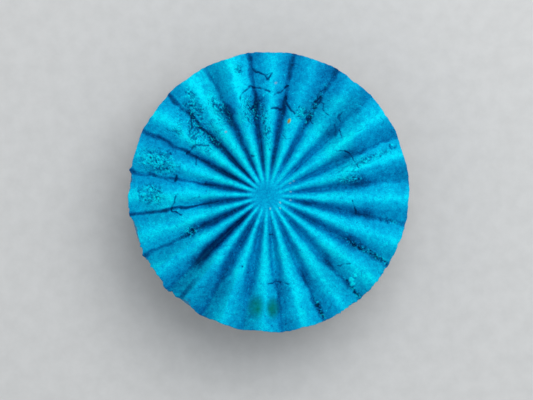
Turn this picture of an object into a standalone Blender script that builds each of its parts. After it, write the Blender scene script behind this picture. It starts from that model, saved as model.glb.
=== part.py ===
"""Disc air stone for a pond or aquarium.

A fluted disc of porous stone is bonded to a plastic base, and the hollow of the base is the air
chamber. The base stands on four suction cups. Air comes in from underneath, through a hose barb that
swivels on a hollow stem.

Metres, +Z up. The origin is on the stone's axis, on the surface that the suction cups stand on.
Flute valleys lie on +X and +Y. Run with: blender --background --python part.py
"""

import math

import bpy

MM = 0.001
GAP = 0.3 * MM  # between pieces that touch

# Stone
STONE_RADIUS = 51.0 * MM
STONE_THICKNESS = 14.0 * MM
FLUTES = 20
STEPS_PER_FLUTE = 4
FLUTE_DEPTH = 2.9 * MM
RIM_FLUTE_DEPTH = 2.4 * MM
CREST_ROUNDING = 0.35  # 0 is a sharp crest, and 1 is nearly a parabola
RIM_SCALLOP = 0.3 * MM  # valleys reach this far beyond the mean rim, and crests stop short of it
HUB_RADIUS = 3.3 * MM
HUB_DISH = 0.8 * MM
RIM_DROP = 1.2 * MM
RIM_ROUNDING = 1.2 * MM
STONE_CHAMFER = 0.8 * MM
TOP_RINGS = 12  # rings of vertices from the hub to the rim

# Base pan
PAN_UNDERSIDE = 17.0 * MM
PAN_FLOOR = 2.0 * MM
PAN_RADIUS = 41.2 * MM
PAN_WALL = 2.2 * MM
PAN_CORNER = 1.2 * MM
FLANGE_RADIUS = 46.5 * MM
FLANGE_THICKNESS = 1.8 * MM
BEAD_THICKNESS = 0.7 * MM
BEAD_BULGE = 0.3 * MM
BEAD_INSET = 1.0 * MM  # from the wall's inner face, so that no resin runs into the chamber

# Suction cups
CUP_COUNT = 4
CUP_CIRCLE = 31.5 * MM
CUP_RADIUS = 11.0 * MM
CUP_NECK = 2.7 * MM
CUP_HEAD = 3.9 * MM
BOSS_RADIUS = 6.2 * MM
BOSS_HEIGHT = 7.0 * MM
BOSS_ROOT = 0.8 * MM  # how far a boss runs into the floor that it grows from
SOCKET_SHELF = 1.4 * MM
SOCKET_ROOF = 2.6 * MM
SOCKET_PLAY = 0.4 * MM

# Air inlet, from the stem's lower end upwards
STEM_END = 2.6 * MM
STEM_BORE = 1.6 * MM
JOURNAL_RADIUS = 4.0 * MM
SHANK_RADIUS = 4.9 * MM
STEM_FLANGE_RADIUS = 8.0 * MM
STEM_FLANGE = 2.0 * MM
AIR_HOLE = 0.9 * MM
CLIP_LEVEL = 3.3 * MM
CLIP_THICKNESS = 0.8 * MM
CLIP_GROOVE_DEPTH = 0.9 * MM
CLIP_WIDTH = 1.5 * MM
THRUST_THICKNESS = 0.5 * MM
SWIVEL_HEIGHT = 7.7 * MM
SWIVEL_RADIUS = 7.4 * MM
O_RING_OFFSET = 2.3 * MM
O_RING_RADIUS = 0.42 * MM
O_RING_GROOVE = 1.3 * MM
O_RING_DEPTH = 1.1 * MM
AIR_GROOVE = 2.1 * MM
AIR_GROOVE_DEPTH = 1.0 * MM
NUT_THICKNESS = 3.5 * MM
NUT_ACROSS_FLATS = 16.0 * MM
WASHER_THICKNESS = 1.0 * MM
BARB_REACH = 24.2 * MM
BARB_RADIUS = 2.65 * MM
BARB_NECK = 2.05 * MM
BARB_BORE = 1.1 * MM
BARB_COUNT = 3
COLLAR_RADIUS = 3.4 * MM
COLLAR_END = 10.2 * MM

# Levels that follow from the sizes above
THRUST_LEVEL = CLIP_LEVEL + CLIP_THICKNESS + GAP
SWIVEL_LEVEL = THRUST_LEVEL + THRUST_THICKNESS + GAP + SWIVEL_HEIGHT / 2
WASHER_LEVEL = PAN_UNDERSIDE + PAN_FLOOR + GAP
STEM_FLANGE_LEVEL = WASHER_LEVEL + WASHER_THICKNESS + GAP
STONE_UNDERSIDE = 26.0 * MM
LEDGE_LEVEL = STONE_UNDERSIDE - BEAD_THICKNESS - 2 * GAP

SHARP_ANGLE = math.radians(35)


# --- Helpers -----------------------------------------------------------------------------------

def clear_scene():
    for obj in list(bpy.data.objects):
        bpy.data.objects.remove(obj)


def new_collection(name):
    collection = bpy.data.collections.new(name)
    bpy.context.scene.collection.children.link(collection)
    return collection


def new_material(name, colour, roughness, metallic=0.0):
    material = bpy.data.materials.new(name)
    material.use_nodes = True
    shader = material.node_tree.nodes["Principled BSDF"]
    shader.inputs["Base Color"].default_value = (*colour, 1.0)
    shader.inputs["Roughness"].default_value = roughness
    shader.inputs["Metallic"].default_value = metallic
    return material


def move_to(obj, collection):
    for old in list(obj.users_collection):
        old.objects.unlink(obj)
    collection.objects.link(obj)


def add_piece(obj, material, location=(0, 0, 0)):
    """Makes obj a piece of the model: puts it in place and gives it its material."""
    move_to(obj, PARTS)
    obj.location = location
    obj.data.materials.clear()
    obj.data.materials.append(material)
    return obj


def boolean(obj, other, operation):
    """Joins or cuts obj with a helper shape, which is drawn as a wire and left out of the model."""
    move_to(other, CUTTERS)
    other.hide_render = True
    other.display_type = "WIRE"
    modifier = obj.modifiers.new(f"{operation} {other.name}", "BOOLEAN")
    modifier.operation = operation
    modifier.solver = "EXACT"
    modifier.object = other


def turned(name, profile, steps, closed=True):
    """Turns (radius, height) points about Z. The points run down the outer side."""
    mesh = bpy.data.meshes.new(name)
    count = len(profile)
    edges = [(i, (i + 1) % count) for i in range(count if closed else count - 1)]
    mesh.from_pydata([(r, 0, z) for r, z in profile], edges, [])
    obj = bpy.data.objects.new(name, mesh)
    bpy.context.scene.collection.objects.link(obj)
    screw = obj.modifiers.new("Turn", "SCREW")
    screw.steps = screw.render_steps = steps
    screw.use_merge_vertices = True
    screw.merge_threshold = 0.00001
    return obj


def ring(name, inner, outer, low, high, steps):
    """A turned ring of rectangular section."""
    return turned(name, [(inner, high), (outer, high), (outer, low), (inner, low)], steps)


def rod(name, radius, length, location=(0, 0, 0), rotation=(0, 0, 0), sides=24):
    bpy.ops.mesh.primitive_cylinder_add(
        vertices=sides, radius=radius, depth=length, location=location, rotation=rotation
    )
    obj = bpy.context.object
    obj.name = name
    return obj


def realise(obj):
    """Replaces obj's mesh by the mesh that its modifiers make."""
    evaluated = obj.evaluated_get(bpy.context.evaluated_depsgraph_get())
    mesh = bpy.data.meshes.new_from_object(evaluated)
    obj.modifiers.clear()
    obj.data = mesh


def shade(obj):
    """Shades round surfaces smooth and keeps corners sharp."""
    obj.data.shade_smooth()
    obj.data.set_sharp_from_angle(angle=SHARP_ANGLE)


def around(radius, angle, height):
    return (radius * math.cos(angle), radius * math.sin(angle), height)


def evenly(count):
    """Angles of count places round the axis, the first half a pitch from +X."""
    return [math.tau * (i + 0.5) / count for i in range(count)]


def smooth_step(value, start, end):
    t = min(1.0, max(0.0, (value - start) / (end - start)))
    return t * t * (3 - 2 * t)


# --- Stone -------------------------------------------------------------------------------------

def crest_height(radius):
    """Height of the crests above the stone's underside: lower at the hub, rolled off at the rim."""
    dish = HUB_DISH * (1 - smooth_step(radius, HUB_RADIUS, 4 * HUB_RADIUS))
    roll_start = 0.7 * STONE_RADIUS
    roll = max(0.0, (radius - roll_start) / (STONE_RADIUS - roll_start))
    return STONE_THICKNESS - dish - RIM_DROP * roll**2


def flute_depth(radius):
    """Depth from crest to valley: none at the hub, deepest half way out, a little less at the rim."""
    grown = FLUTE_DEPTH * smooth_step(radius, HUB_RADIUS, 6 * HUB_RADIUS)
    eased = smooth_step(radius, 0.6 * STONE_RADIUS, 0.75 * STONE_RADIUS)
    return grown - (FLUTE_DEPTH - RIM_FLUTE_DEPTH) * eased


def flute_section(angle):
    """0 on a crest and 1 in a valley. The crest is round and the valley is a sharp V."""
    phase = (angle / math.tau * FLUTES) % 1.0
    off_crest = abs(2 * phase - 1)
    k = CREST_ROUNDING
    return (math.hypot(off_crest, k) - k) / (math.hypot(1, k) - k)


def stone_profile():
    """Section of the stone with no flutes: hub to rim, down the side, and across the underside."""
    top_end = STONE_RADIUS - RIM_ROUNDING
    points = [(0, crest_height(0))]
    for i in range(TOP_RINGS + 1):
        radius = HUB_RADIUS + (top_end - HUB_RADIUS) * (i / TOP_RINGS) ** 1.2
        points.append((radius, crest_height(radius)))
    rim_height = crest_height(STONE_RADIUS)
    corner = 0.3 * RIM_ROUNDING
    points += [
        (STONE_RADIUS - corner, rim_height - corner),
        (STONE_RADIUS, rim_height - RIM_ROUNDING),
        (STONE_RADIUS, STONE_THICKNESS / 2),
        (STONE_RADIUS, STONE_CHAMFER),
        (STONE_RADIUS - STONE_CHAMFER, 0),
        (0, 0),
    ]
    return points


def make_stone(material):
    steps = FLUTES * STEPS_PER_FLUTE
    stone = turned("diffuser_stone", stone_profile(), steps, closed=False)
    realise(stone)
    fluted_above = 0.6 * STONE_THICKNESS
    for vertex in stone.data.vertices:
        radius = math.hypot(vertex.co.x, vertex.co.y)
        angle = math.atan2(vertex.co.y, vertex.co.x)
        if vertex.co.z > fluted_above:
            vertex.co.z -= flute_depth(radius) * flute_section(angle)
        if radius > STONE_RADIUS - 2 * RIM_ROUNDING:
            grow = 1 + RIM_SCALLOP * math.cos(FLUTES * angle) / STONE_RADIUS
            vertex.co.x *= grow
            vertex.co.y *= grow
    add_piece(stone, material, (0, 0, STONE_UNDERSIDE))


def make_bond_bead(material):
    """The resin between the base's ledge and the stone, with a little squeezed out at the edge."""
    inner = PAN_RADIUS - PAN_WALL + BEAD_INSET
    profile = [
        (inner, BEAD_THICKNESS),
        (FLANGE_RADIUS - BEAD_BULGE, BEAD_THICKNESS),
        (FLANGE_RADIUS + BEAD_BULGE, BEAD_THICKNESS / 2),
        (FLANGE_RADIUS - BEAD_BULGE, 0),
        (inner, 0),
    ]
    add_piece(turned("bond_bead", profile, 60), material, (0, 0, LEDGE_LEVEL + GAP))


# --- Base --------------------------------------------------------------------------------------

def pan_profile():
    """Section of the base, with its floor's underside at height 0."""
    ledge = LEDGE_LEVEL - PAN_UNDERSIDE
    inner = PAN_RADIUS - PAN_WALL
    bore = SHANK_RADIUS + GAP
    return [
        (inner, ledge),
        (FLANGE_RADIUS, ledge),
        (FLANGE_RADIUS, ledge - FLANGE_THICKNESS),
        (PAN_RADIUS + 1.0 * MM, ledge - FLANGE_THICKNESS - 0.6 * MM),
        (PAN_RADIUS, PAN_CORNER),
        (PAN_RADIUS - PAN_CORNER, 0),
        (bore, 0),
        (bore, PAN_FLOOR),
        (inner - 0.8 * MM, PAN_FLOOR),
        (inner, PAN_FLOOR + 0.8 * MM),
    ]


def add_cup_sockets(pan):
    """A boss for each suction cup, with a hole for its neck and a wider hollow for its head."""
    hollow_top = BOSS_HEIGHT - SOCKET_ROOF
    neck, head = CUP_NECK + SOCKET_PLAY, CUP_HEAD + SOCKET_PLAY
    profile = [
        (0, hollow_top),
        (head, hollow_top),
        (head, SOCKET_SHELF),
        (neck, SOCKET_SHELF),
        (neck, -SOCKET_SHELF),
        (0, -SOCKET_SHELF),
    ]
    middle = PAN_UNDERSIDE + (BOSS_ROOT - BOSS_HEIGHT) / 2
    for i, angle in enumerate(evenly(CUP_COUNT)):
        place = around(CUP_CIRCLE, angle, middle)
        boolean(pan, rod(f"boss_{i + 1}", BOSS_RADIUS, BOSS_HEIGHT + BOSS_ROOT, place), "UNION")
        socket = turned(f"socket_{i + 1}", profile, 20, closed=False)
        socket.location = around(CUP_CIRCLE, angle, PAN_UNDERSIDE - BOSS_HEIGHT)
        boolean(pan, socket, "DIFFERENCE")


def make_base_pan(material):
    pan = add_piece(turned("base_pan", pan_profile(), 48), material, (0, 0, PAN_UNDERSIDE))
    add_cup_sockets(pan)


def cup_profile():
    """Section of a suction cup: mushroom head, neck, bell, flat lip, and the hollow underneath."""
    head_bottom = PAN_UNDERSIDE - BOSS_HEIGHT + SOCKET_SHELF + 0.5 * MM
    head_top = PAN_UNDERSIDE - SOCKET_ROOF - 0.4 * MM
    return [
        (0, head_top),
        (CUP_HEAD - 0.9 * MM, head_top),
        (CUP_HEAD, head_top - 1.0 * MM),
        (CUP_HEAD, head_bottom),
        (CUP_NECK, head_bottom),
        (CUP_NECK, 7.2 * MM),
        (CUP_NECK + 1.1 * MM, 6.3 * MM),
        (6.5 * MM, 4.9 * MM),
        (9.0 * MM, 2.9 * MM),
        (CUP_RADIUS - 0.4 * MM, 1.2 * MM),
        (CUP_RADIUS, 0.5 * MM),
        (CUP_RADIUS, 0),
        (CUP_RADIUS - 1.6 * MM, 0),
        (8.0 * MM, 1.1 * MM),
        (5.0 * MM, 2.4 * MM),
        (0, 3.2 * MM),
    ]


def make_suction_cups(material):
    """Four rubber cups. Their heads snap into the sockets under the base."""
    for i, angle in enumerate(evenly(CUP_COUNT)):
        cup = turned(f"suction_cup_{i + 1}", cup_profile(), 24, closed=False)
        add_piece(cup, material, around(CUP_CIRCLE, angle, 0))


# --- Air inlet ---------------------------------------------------------------------------------

def groove(middle, width, depth):
    """The four profile points of a groove round the journal, from its upper edge down."""
    top, bottom = middle + width / 2, middle - width / 2
    floor = JOURNAL_RADIUS - depth
    return [(JOURNAL_RADIUS, top), (floor, top), (floor, bottom), (JOURNAL_RADIUS, bottom)]


def stem_profile():
    shoulder = SWIVEL_LEVEL + SWIVEL_HEIGHT / 2 + GAP
    bore_end = SWIVEL_LEVEL - 2 * MM
    top = STEM_FLANGE_LEVEL + STEM_FLANGE
    return [
        (0, bore_end),
        (STEM_BORE, bore_end),
        (STEM_BORE, top),
        (STEM_FLANGE_RADIUS, top),
        (STEM_FLANGE_RADIUS, STEM_FLANGE_LEVEL),
        (SHANK_RADIUS, STEM_FLANGE_LEVEL),
        (SHANK_RADIUS, shoulder),
        (JOURNAL_RADIUS, shoulder),
        *groove(SWIVEL_LEVEL + O_RING_OFFSET, O_RING_GROOVE, O_RING_DEPTH),
        *groove(SWIVEL_LEVEL, AIR_GROOVE, AIR_GROOVE_DEPTH),
        *groove(SWIVEL_LEVEL - O_RING_OFFSET, O_RING_GROOVE, O_RING_DEPTH),
        *groove(CLIP_LEVEL + CLIP_THICKNESS / 2, CLIP_THICKNESS + 0.2 * MM, CLIP_GROOVE_DEPTH),
        (JOURNAL_RADIUS, STEM_END + 0.3 * MM),
        (JOURNAL_RADIUS - 0.3 * MM, STEM_END),
        (0, STEM_END),
    ]


def make_inlet_stem(material):
    """The hollow bolt: flange above the base's floor, shank through it, and journal below."""
    profile = [(r, z - STEM_END) for r, z in stem_profile()]
    stem = turned("inlet_stem", profile, 24, closed=False)
    add_piece(stem, material, (0, 0, STEM_END))
    across = 2 * JOURNAL_RADIUS + 2 * MM
    for i, turn in enumerate((0, math.pi / 2)):
        lying = (math.pi / 2, 0, turn)
        hole = rod(f"air_hole_{i + 1}", AIR_HOLE, across, (0, 0, SWIVEL_LEVEL), lying, sides=10)
        boolean(stem, hole, "DIFFERENCE")


def make_o_rings(material):
    for name, side in (("elbow_o_ring_upper", 1), ("elbow_o_ring_lower", -1)):
        bpy.ops.mesh.primitive_torus_add(
            major_radius=JOURNAL_RADIUS - 0.4 * MM,
            minor_radius=O_RING_RADIUS,
            major_segments=24,
            minor_segments=8,
        )
        seal = bpy.context.object
        seal.name = name
        add_piece(seal, material, (0, 0, SWIVEL_LEVEL + side * O_RING_OFFSET))


def barb_profile():
    """Section of the spigot, from its tip down to its root in the swivel's wall."""
    pitch = (BARB_REACH - COLLAR_END - 1.6 * MM) / BARB_COUNT
    points = [(0, BARB_REACH), (BARB_NECK, BARB_REACH)]
    for i in range(BARB_COUNT):
        base = BARB_REACH - (i + 1) * pitch
        points += [(BARB_RADIUS, base + 0.25 * pitch), (BARB_NECK, base)]
    root = JOURNAL_RADIUS + 2 * MM
    points += [(BARB_NECK, COLLAR_END), (COLLAR_RADIUS, COLLAR_END), (COLLAR_RADIUS, root), (0, root)]
    return points


def make_swivel_elbow(material):
    """The collar that turns on the stem, with the hose barb on its -Y side."""
    half = SWIVEL_HEIGHT / 2
    edge = 0.6 * MM
    profile = [
        (JOURNAL_RADIUS + GAP, half),
        (SWIVEL_RADIUS - edge, half),
        (SWIVEL_RADIUS, half - edge),
        (SWIVEL_RADIUS, edge - half),
        (SWIVEL_RADIUS - edge, -half),
        (JOURNAL_RADIUS + GAP, -half),
    ]
    swivel = add_piece(turned("swivel_elbow", profile, 32), material, (0, 0, SWIVEL_LEVEL))
    spigot = turned("spigot", barb_profile(), 20, closed=False)
    spigot.location.z = SWIVEL_LEVEL
    spigot.rotation_euler.x = math.pi / 2
    boolean(swivel, spigot, "UNION")
    start, end = JOURNAL_RADIUS - 1 * MM, BARB_REACH + 1 * MM
    middle = (0, -(start + end) / 2, SWIVEL_LEVEL)
    bore = rod("barb_bore", BARB_BORE, end - start, middle, (math.pi / 2, 0, 0), sides=12)
    boolean(swivel, bore, "DIFFERENCE")


def clip_outline():
    """Outline of an E-clip that is open towards +X, with three lands that grip the stem's groove."""
    land = JOURNAL_RADIUS - CLIP_GROOVE_DEPTH + GAP
    relief = JOURNAL_RADIUS + 0.8 * MM
    outer = relief + CLIP_WIDTH
    steps = 36
    opening, land_half = math.radians(38), math.radians(20)
    angles = [opening + (math.tau - 2 * opening) * i / steps for i in range(steps + 1)]
    lands = [math.radians(degrees) for degrees in (60, 180, 300)]
    points = [around(outer, angle, 0) for angle in angles]
    for angle in reversed(angles):
        on_land = min(abs(angle - middle) for middle in lands) < land_half
        points.append(around(land if on_land else relief, angle, 0))
    return points


def make_retaining_clip(material):
    """The E-clip, turned so that its opening faces away from the hose barb."""
    outline = clip_outline()
    curve = bpy.data.curves.new("retaining_clip", "CURVE")
    curve.dimensions = "2D"
    curve.fill_mode = "BOTH"
    curve.extrude = CLIP_THICKNESS / 2
    spline = curve.splines.new("POLY")
    spline.points.add(len(outline) - 1)
    for point, place in zip(spline.points, outline):
        point.co = (*place, 1)
    spline.use_cyclic_u = True
    clip = bpy.data.objects.new("retaining_clip", curve)
    add_piece(clip, material, (0, 0, CLIP_LEVEL + CLIP_THICKNESS / 2))
    clip.rotation_euler.z = math.pi / 2


def make_locknut(material):
    nut = rod("stem_locknut", NUT_ACROSS_FLATS / math.sqrt(3), NUT_THICKNESS, sides=6)
    bevel = nut.modifiers.new("Edges", "BEVEL")
    bevel.width = 0.4 * MM
    bevel.segments = 1
    add_piece(nut, material, (0, 0, PAN_UNDERSIDE - GAP - NUT_THICKNESS / 2))
    hole = rod("nut_bore", SHANK_RADIUS + GAP, 2 * NUT_THICKNESS, nut.location)
    boolean(nut, hole, "DIFFERENCE")


def make_washers(rubber, nylon):
    seal = ring("stem_washer", SHANK_RADIUS + GAP, STEM_FLANGE_RADIUS, 0, WASHER_THICKNESS, 24)
    add_piece(seal, rubber, (0, 0, WASHER_LEVEL))
    outer = SWIVEL_RADIUS - 0.8 * MM
    thrust = ring("thrust_washer", JOURNAL_RADIUS + GAP, outer, 0, THRUST_THICKNESS, 24)
    add_piece(thrust, nylon, (0, 0, THRUST_LEVEL))


# --- Assembly ----------------------------------------------------------------------------------

def main():
    stone = new_material("stone", (0.0, 0.26, 0.52), 0.7)
    resin = new_material("resin", (0.30, 0.34, 0.35), 0.35)
    plastic = new_material("plastic", (0.03, 0.035, 0.04), 0.45)
    rubber = new_material("rubber", (0.02, 0.02, 0.02), 0.6)
    acetal = new_material("acetal", (0.06, 0.065, 0.07), 0.35)
    nylon = new_material("nylon", (0.78, 0.77, 0.72), 0.4)
    steel = new_material("steel", (0.60, 0.60, 0.60), 0.3, metallic=1.0)
    make_stone(stone)
    make_bond_bead(resin)
    make_base_pan(plastic)
    make_suction_cups(rubber)
    make_inlet_stem(acetal)
    make_washers(rubber, nylon)
    make_locknut(acetal)
    make_o_rings(rubber)
    make_swivel_elbow(acetal)
    make_retaining_clip(steel)
    for piece in PARTS.objects:
        if piece.type == "MESH":
            realise(piece)
            shade(piece)


clear_scene()
PARTS = new_collection("air_stone")
CUTTERS = new_collection("cutters")
main()
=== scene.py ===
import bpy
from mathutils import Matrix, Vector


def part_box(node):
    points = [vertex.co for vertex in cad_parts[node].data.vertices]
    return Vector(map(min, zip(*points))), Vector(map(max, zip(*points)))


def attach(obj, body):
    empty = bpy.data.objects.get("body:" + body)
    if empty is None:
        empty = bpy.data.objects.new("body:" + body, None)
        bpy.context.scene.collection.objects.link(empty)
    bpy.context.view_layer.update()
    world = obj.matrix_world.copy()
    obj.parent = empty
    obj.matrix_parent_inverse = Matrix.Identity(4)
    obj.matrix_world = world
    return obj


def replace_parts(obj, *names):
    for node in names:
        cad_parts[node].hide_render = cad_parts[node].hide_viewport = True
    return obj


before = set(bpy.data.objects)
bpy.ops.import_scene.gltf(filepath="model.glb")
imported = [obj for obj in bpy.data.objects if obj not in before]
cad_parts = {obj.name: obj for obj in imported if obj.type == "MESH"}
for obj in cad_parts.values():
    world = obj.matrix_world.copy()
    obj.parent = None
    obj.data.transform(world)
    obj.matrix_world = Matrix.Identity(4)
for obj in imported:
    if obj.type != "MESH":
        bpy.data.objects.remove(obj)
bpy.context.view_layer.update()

# Looks of the disc air stone: a sculpted stone, finer turned and cut pieces, materials and the studio.
# Shapes are written in millimetres, with the stone's axis as Z, and are scaled to metres when they
# become meshes. Angles are in degrees, counterclockwise from +X.

import math

import bpy
import numpy as np

MM = 0.001
SHARP_ANGLE = 30  # degrees between two faces from which their edge stays sharp


def levels(node):
    """Heights in mm of a CAD node's underside and top."""
    low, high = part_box(node)
    return low[2] / MM, high[2] / MM


def reach(node):
    """Largest X of a CAD node that is centred on the axis, in mm."""
    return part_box(node)[1][0] / MM


# --- Meshes ---

def link_object(name, data):
    obj = bpy.data.objects.new(name, data)
    bpy.context.scene.collection.objects.link(obj)
    return obj


def add_object(name, points, faces, material, body, sharp_angle=SHARP_ANGLE):
    """Makes a piece from points in mm, shades it and lets it ride on its body."""
    mesh = bpy.data.meshes.new(name)
    mesh.from_pydata((np.asarray(points, float) * MM).tolist(), [], faces)
    mesh.validate()
    mesh.materials.append(material)
    mesh.shade_smooth()
    mesh.set_sharp_from_angle(angle=math.radians(sharp_angle))
    obj = link_object(name, mesh)
    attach(obj, body)
    return obj


def ring_at(angle, radius, height):
    """Points round Z at these angles in radians."""
    return np.column_stack([radius * np.cos(angle), radius * np.sin(angle), np.full(len(angle), height)])


def stitch(counts, closed=False):
    """Faces between rings of points that lie one after another. A ring may have half the next's points.

    Each ring is the next inner one of a surface that is seen from outside with its rings running
    counterclockwise. With closed, the last ring is joined to the first.
    """
    faces = []
    starts = np.concatenate([[0], np.cumsum(counts)]).tolist()
    pairs = [(i, i + 1) for i in range(len(counts) - 1)]
    if closed:
        pairs.append((len(counts) - 1, 0))
    for a, b in pairs:
        sa, sb, na, nb = starts[a], starts[b], counts[a], counts[b]
        few, many = min(na, nb), max(na, nb)
        for i in range(few):
            j = (i + 1) % few
            if na == nb:
                faces.append((sa + i, sa + j, sb + j, sb + i))
                continue
            thin, dense = (sb, sa) if na > nb else (sa, sb)
            first, middle, last = dense + 2 * i, dense + 2 * i + 1, dense + (2 * i + 2) % many
            fan = [(first, middle, thin + i), (middle, thin + j, thin + i), (middle, last, thin + j)]
            faces += fan if na > nb else [face[::-1] for face in fan]
    return faces


def rounded(profile, radius, steps=4, closed=True):
    """Profile of (radius, height) points with each corner rounded. A point may give its own radius."""
    out, count = [], len(profile)
    for i, point in enumerate(profile):
        here = np.array(point[:2], float)
        size = point[2] if len(point) > 2 else radius
        if not closed and i in (0, count - 1) or size <= 0:
            out.append(tuple(here))
            continue
        before = np.array(profile[i - 1][:2], float) - here
        after = np.array(profile[(i + 1) % count][:2], float) - here
        la, lb = np.linalg.norm(before), np.linalg.norm(after)
        before, after = before / la, after / lb
        half = math.acos(float(np.clip(before @ after, -1, 1))) / 2
        cut = min(size / math.tan(half), 0.45 * la, 0.45 * lb)
        start, end = here + before * cut, here + after * cut
        for t in np.linspace(0, 1, steps + 1):
            out.append(tuple((1 - t) ** 2 * start + 2 * t * (1 - t) * here + t * t * end))
    return out


def turned_shape(profile, segments, closed=True):
    """Points and faces of a profile turned about Z. An open profile starts and ends on the axis."""
    angle = np.arange(segments) * math.tau / segments
    inside = profile if closed else profile[1:-1]
    points = [ring_at(angle, radius, height) for radius, height in inside]
    faces = stitch([segments] * len(inside), closed)
    faces = [face[::-1] for face in faces]
    points = np.concatenate(points)
    if not closed:
        first, last = len(points), len(points) + 1
        top, bottom = profile[0][1], profile[-1][1]
        points = np.concatenate([points, [[0, 0, top], [0, 0, bottom]]])
        tail = segments * (len(inside) - 1)
        for i in range(segments):
            j = (i + 1) % segments
            faces.append((first, i, j))
            faces.append((last, tail + j, tail + i))
    return points, faces


def turned(name, profile, segments, material, body, place=(0, 0, 0), closed=True):
    """A turned piece. The profile runs down its outer side."""
    points, faces = turned_shape(profile, segments, closed)
    return add_object(name, points + np.array(place), faces, material, body)


def tool(profile, segments, place=(0, 0, 0), lying=False):
    """A turned shape for boolean(). Lying, its axis points to -Y."""
    points, faces = turned_shape(profile, segments, closed=False)
    if lying:
        points = np.column_stack([points[:, 0], -points[:, 2], points[:, 1]])
    mesh = bpy.data.meshes.new("tool")
    mesh.from_pydata(((points + np.array(place)) * MM).tolist(), [], faces)
    return link_object("tool", mesh)


def boolean(obj, other, operation):
    """Joins or cuts obj with other, which is used up."""
    modifier = obj.modifiers.new(operation, "BOOLEAN")
    modifier.operation = operation
    modifier.solver = "EXACT"
    modifier.object = other
    evaluated = obj.evaluated_get(bpy.context.evaluated_depsgraph_get())
    mesh = bpy.data.meshes.new_from_object(evaluated)
    obj.modifiers.clear()
    mesh.name = obj.name
    obj.data = mesh
    bpy.data.objects.remove(other)


def smooth_again(obj):
    """Shades a piece anew after its mesh was cut."""
    obj.data.shade_smooth()
    obj.data.set_sharp_from_angle(angle=math.radians(SHARP_ANGLE))


def break_edges(obj, width, angle):
    """Bevels the edges that are sharper than angle in degrees, by width in mm."""
    edges = obj.modifiers.new("Edges", "BEVEL")
    edges.width, edges.segments, edges.limit_method = width * MM, 2, "ANGLE"
    edges.angle_limit = math.radians(angle)


def rise(value, start, end):
    """0 before start and 1 after end, with an eased slope between them."""
    t = np.clip((value - start) / (end - start), 0, 1)
    return t * t * (3 - 2 * t)


def fall(value, start, end):
    """1 before start and 0 after end."""
    return 1 - rise(value, start, end)


NOISE_GRID = 257  # random values a side, after which the noise repeats
NOISE_SHIFT = 1000.0  # cells from the grid's corner to the stone's axis


def value_noise(x, y, scale, seed):
    """Smooth noise from -1 to 1 over a plane, with lumps about scale mm across."""
    size = NOISE_GRID
    grid = np.random.default_rng(seed).uniform(-1, 1, (size, size))
    u, v = x / scale + NOISE_SHIFT, y / scale + NOISE_SHIFT
    iu, iv = np.floor(u).astype(int), np.floor(v).astype(int)
    fu, fv = rise(u - iu, 0, 1), rise(v - iv, 0, 1)
    a, b = grid[iu % size, iv % size], grid[(iu + 1) % size, iv % size]
    c, d = grid[iu % size, (iv + 1) % size], grid[(iu + 1) % size, (iv + 1) % size]
    return (a * (1 - fu) + b * fu) * (1 - fv) + (c * (1 - fu) + d * fu) * fv


def layered_noise(x, y, scale, seed, layers=3):
    """Value noise with finer layers on top, each half the size and strength of the one before."""
    total = sum(value_noise(x, y, scale / 2**i, seed + i) / 2**i for i in range(layers))
    return total / (2 - 2 ** (1 - layers))


# --- Node materials ---

class Nodes:
    """Short calls for building a material's nodes around one Principled shader."""

    def __init__(self, name):
        self.material = bpy.data.materials.new(name)
        self.material.use_nodes = True
        self.tree = self.material.node_tree
        self.shader = self.tree.nodes["Principled BSDF"]
        self.where = self.add("ShaderNodeTexCoord").outputs["Object"]

    def add(self, kind, **values):
        node = self.tree.nodes.new(kind)
        for key, value in values.items():
            setattr(node, key, value)
        return node

    def put(self, value, node, socket):
        """Links an output to a socket, or sets the socket to a number or a colour."""
        if isinstance(value, bpy.types.NodeSocket):
            self.tree.links.new(value, node.inputs[socket])
        else:
            node.inputs[socket].default_value = value

    def texture(self, kind, scale_mm):
        node = self.add(kind)
        self.put(self.where, node, "Vector")
        self.put(1 / (scale_mm * MM), node, "Scale")
        return node

    def noise(self, scale_mm, detail=3.0, roughness=0.55, distortion=0.0):
        node = self.texture("ShaderNodeTexNoise", scale_mm)
        self.put(detail, node, "Detail")
        self.put(roughness, node, "Roughness")
        self.put(distortion, node, "Distortion")
        return node.outputs["Fac"]

    def attribute(self, name):
        return self.add("ShaderNodeAttribute", attribute_name=name).outputs["Fac"]

    def ramp(self, value, stops):
        node = self.add("ShaderNodeValToRGB")
        elements = node.color_ramp.elements
        while len(elements) < len(stops):
            elements.new(0.5)
        for element, (position, colour) in zip(elements, stops):
            element.position = position
            element.color = (*colour, 1) if isinstance(colour, tuple) else (colour,) * 3 + (1,)
        self.put(value, node, "Fac")
        return node.outputs["Color"]

    def maths(self, operation, a, b=0.5, c=None, clamp=False):
        node = self.add("ShaderNodeMath", operation=operation, use_clamp=clamp)
        for i, value in enumerate((a, b, c)):
            if value is not None:
                self.put(value, node, i)
        return node.outputs[0]

    def shifted(self, value, noise, amount):
        """value, moved up and down by noise around 0.5."""
        return self.maths("MULTIPLY_ADD", self.maths("SUBTRACT", noise), amount, value)

    def mix(self, factor, a, b, blend="MIX"):
        node = self.add("ShaderNodeMix", data_type="RGBA", blend_type=blend)
        for socket, value in ((0, factor), (6, a), (7, b)):
            self.put((*value, 1) if isinstance(value, tuple) else value, node, socket)
        return node.outputs[2]

    def bump(self, height, distance_mm, strength, under=None):
        node = self.add("ShaderNodeBump")
        self.put(distance_mm * MM, node, "Distance")
        self.put(strength, node, "Strength")
        self.put(height, node, "Height")
        if under is not None:
            self.put(under, node, "Normal")
        return node.outputs["Normal"]

    def finish(self, colour, roughness, normal=None, **sockets):
        """Fills the shader's sockets and gives the material back."""
        sockets.update(Base_Color=colour, Roughness=roughness)
        if normal is not None:
            sockets["Normal"] = normal
        for name, value in sockets.items():
            self.put(value, self.shader, name.replace("_", " "))
        return self.material


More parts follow.
